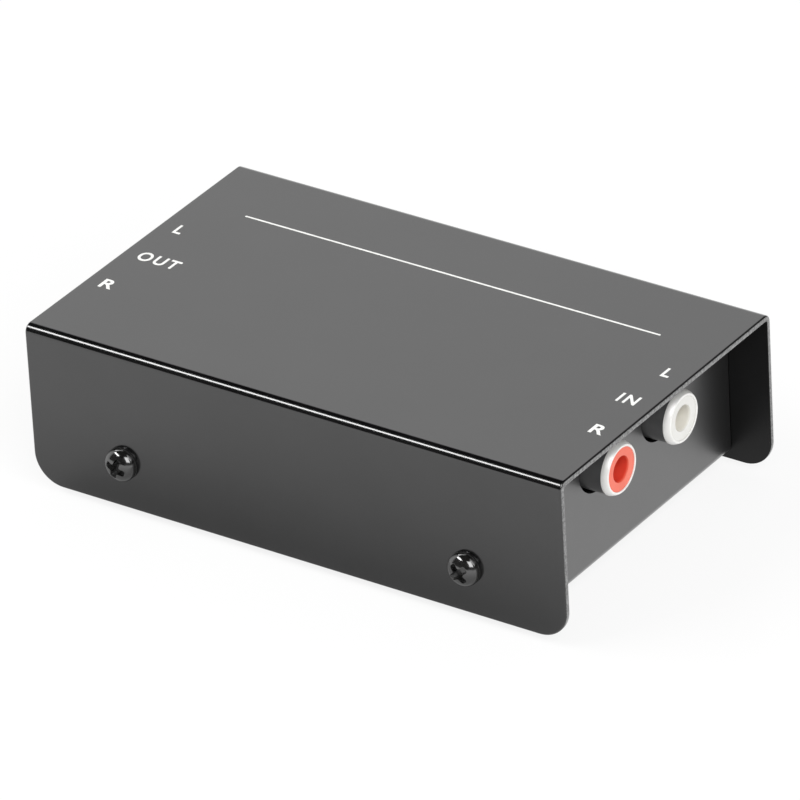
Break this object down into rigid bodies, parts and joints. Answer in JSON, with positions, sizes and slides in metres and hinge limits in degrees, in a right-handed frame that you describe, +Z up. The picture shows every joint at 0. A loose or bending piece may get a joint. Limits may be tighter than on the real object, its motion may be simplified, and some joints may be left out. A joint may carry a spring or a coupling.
{
  "type": "phono preamp",
  "caption": "Small turntable preamplifier in a black folded steel case, with phono jacks at both ends and a power inlet and ground terminal at the output end.",
  "frame": {"origin": "middle of the footprint, on the surface that the four feet stand on", "axes": "+X from the output end to the input end, +Y to the back, +Z up"},
  "size_m": [0.096, 0.0618, 0.0284],
  "materials": {
    "black_paint": "satin",
    "chassis_paint": "satin",
    "black_steel": "gloss black oxide",
    "foot_rubber": "matt",
    "board_laminate": "satin green lacquer",
    "zinc_steel": "zinc plated",
    "black_moulding": "fine mould texture",
    "white_moulding": "gloss",
    "red_moulding": "gloss",
    "nickel": "bright nickel plate",
    "spring_bronze": "bright",
    "tinned_brass": "tinned",
    "green_insulation": "gloss",
    "capacitor_sleeve": "gloss shrink sleeve",
    "film_box": "moulded box",
    "resistor_coat": "dipped lacquer"
  },
  "bodies": {
    "case": {"top_cover": "black_paint", "chassis": "chassis_paint", "cover_screws": "black_steel", "rubber_feet": "foot_rubber", "circuit_board": "board_laminate", "board_standoffs": "zinc_steel", "board_screws": "zinc_steel", "input_jack_block": "black_moulding", "input_sleeve_left": "nickel", "input_sleeve_right": "nickel", "input_insert_left": "white_moulding", "input_insert_right": "red_moulding", "input_contact_left": "spring_bronze", "input_contact_right": "spring_bronze", "output_jack_block": "black_moulding", "output_sleeve_left": "nickel", "output_sleeve_right": "nickel", "output_insert_left": "white_moulding", "output_insert_right": "red_moulding", "output_contact_left": "spring_bronze", "output_contact_right": "spring_bronze", "inlet_housing": "black_moulding", "inlet_pin": "nickel", "inlet_spring": "spring_bronze", "ground_stud": "nickel", "ground_nut": "nickel", "ground_lug": "tinned_brass", "ground_wire": "green_insulation", "op_amp_socket": "black_moulding", "op_amp": "black_moulding", "filter_capacitor": "capacitor_sleeve", "signal_capacitors": "capacitor_sleeve", "film_capacitors": "film_box", "resistors": "resistor_coat", "rectifier_diode": "black_moulding", "voltage_regulator": "black_moulding"},
    "washer": {"ground_washer": "nickel"},
    "thumb_nut": {"ground_thumb_nut": "nickel"}
  },
  "joints": [
    {"name": "washer_slide", "type": "slide", "parent": "case", "child": "washer", "axis": [-1, 0, 0], "range_m": [0, 0.0021]},
    {"name": "thumb_nut_turn", "type": "hinge", "parent": "washer", "child": "thumb_nut", "pos_m": [-0.0436, -0.0185, 0.0167], "axis": [-1, 0, 0], "range_deg": [0, 1080]}
  ],
  "couplings": [
    {"joint": "thumb_nut_turn", "follows": "washer_slide", "rad_per_m": 8976}
  ]
}
